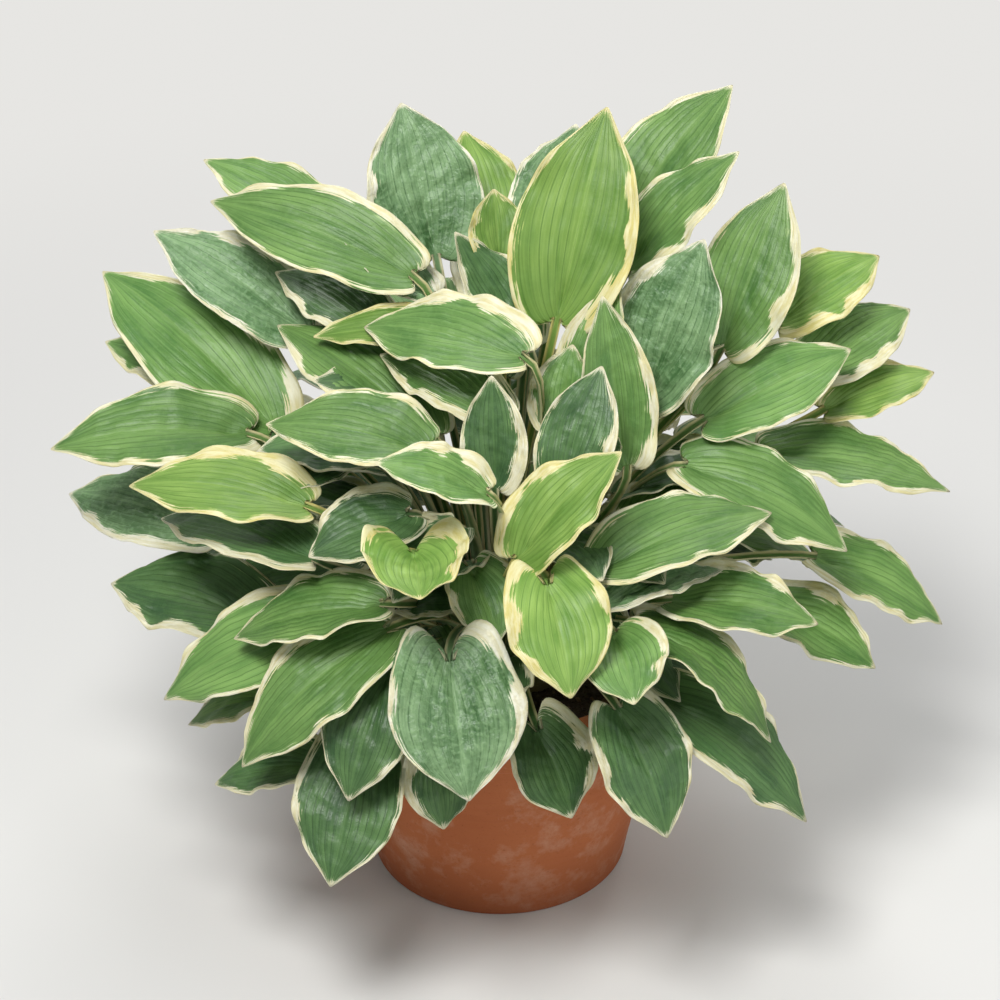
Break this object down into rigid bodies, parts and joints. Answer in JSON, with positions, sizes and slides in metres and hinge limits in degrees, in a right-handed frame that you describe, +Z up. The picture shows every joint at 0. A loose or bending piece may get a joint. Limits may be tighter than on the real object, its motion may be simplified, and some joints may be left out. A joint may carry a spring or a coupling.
{
  "type": "potted hosta plant",
  "caption": "Mound of broad, ribbed, cream-edged hosta leaves on channelled stalks, growing from a low crown in a plain terracotta pot of soil.",
  "frame": {"origin": "centre of the pot's flat base, on the surface it stands on", "axes": "+Z up, -Y the front, +X to the right seen from the front"},
  "size_m": [0.7981, 0.6909, 0.722],
  "materials": {
    "terracotta": "unglazed fired clay, matt, faint turning lines",
    "potting_soil": "dark damp potting soil, crumbly and matt",
    "crown": "fibrous green-brown plant crown",
    "leaf_fresh": "young yellow-green leaf, satin, ribbed, yellow edge",
    "leaf_green": "mid-green leaf, satin, ribbed, creamy white edge",
    "leaf_blue": "blue-green puckered leaf with a waxy bloom, creamy white edge",
    "leaf_deep": "deep green shaded leaf, satin, thin cream edge"
  },
  "bodies": {
    "root": {"pot": "terracotta", "soil": "potting_soil", "crown": "crown", "upper_leaf_01": "leaf_green", "upper_leaf_02": "leaf_green", "upper_leaf_03": "leaf_blue", "upper_leaf_04": "leaf_blue", "upper_leaf_05": "leaf_fresh", "upper_leaf_06": "leaf_fresh", "upper_leaf_07": "leaf_green", "upper_leaf_08": "leaf_green", "upper_leaf_09": "leaf_green", "upper_leaf_10": "leaf_fresh", "upper_leaf_11": "leaf_blue", "middle_leaf_01": "leaf_green", "middle_leaf_02": "leaf_green", "middle_leaf_03": "leaf_fresh", "middle_leaf_04": "leaf_blue", "middle_leaf_05": "leaf_deep", "middle_leaf_06": "leaf_green", "middle_leaf_07": "leaf_green", "middle_leaf_08": "leaf_fresh", "middle_leaf_09": "leaf_green", "middle_leaf_10": "leaf_deep", "middle_leaf_11": "leaf_green", "middle_leaf_12": "leaf_fresh", "middle_leaf_13": "leaf_deep", "middle_leaf_14": "leaf_green", "middle_leaf_15": "leaf_green", "middle_leaf_16": "leaf_green", "middle_leaf_17": "leaf_fresh", "middle_leaf_18": "leaf_green", "middle_leaf_19": "leaf_green", "middle_leaf_20": "leaf_green", "outer_leaf_01": "leaf_deep", "outer_leaf_02": "leaf_green", "outer_leaf_03": "leaf_green", "outer_leaf_04": "leaf_green", "outer_leaf_05": "leaf_deep", "outer_leaf_06": "leaf_deep", "outer_leaf_07": "leaf_blue", "outer_leaf_08": "leaf_deep", "outer_leaf_09": "leaf_deep", "outer_leaf_10": "leaf_fresh", "outer_leaf_11": "leaf_fresh", "outer_leaf_12": "leaf_deep", "outer_leaf_13": "leaf_green", "outer_leaf_14": "leaf_green", "outer_leaf_15": "leaf_blue", "outer_leaf_16": "leaf_green", "outer_leaf_17": "leaf_green", "outer_leaf_18": "leaf_green", "back_leaf_01": "leaf_green", "back_leaf_02": "leaf_blue", "back_leaf_03": "leaf_green", "back_leaf_04": "leaf_deep", "back_leaf_05": "leaf_green", "back_leaf_06": "leaf_green", "back_leaf_07": "leaf_blue", "back_leaf_08": "leaf_green"}
  },
  "joints": []
}
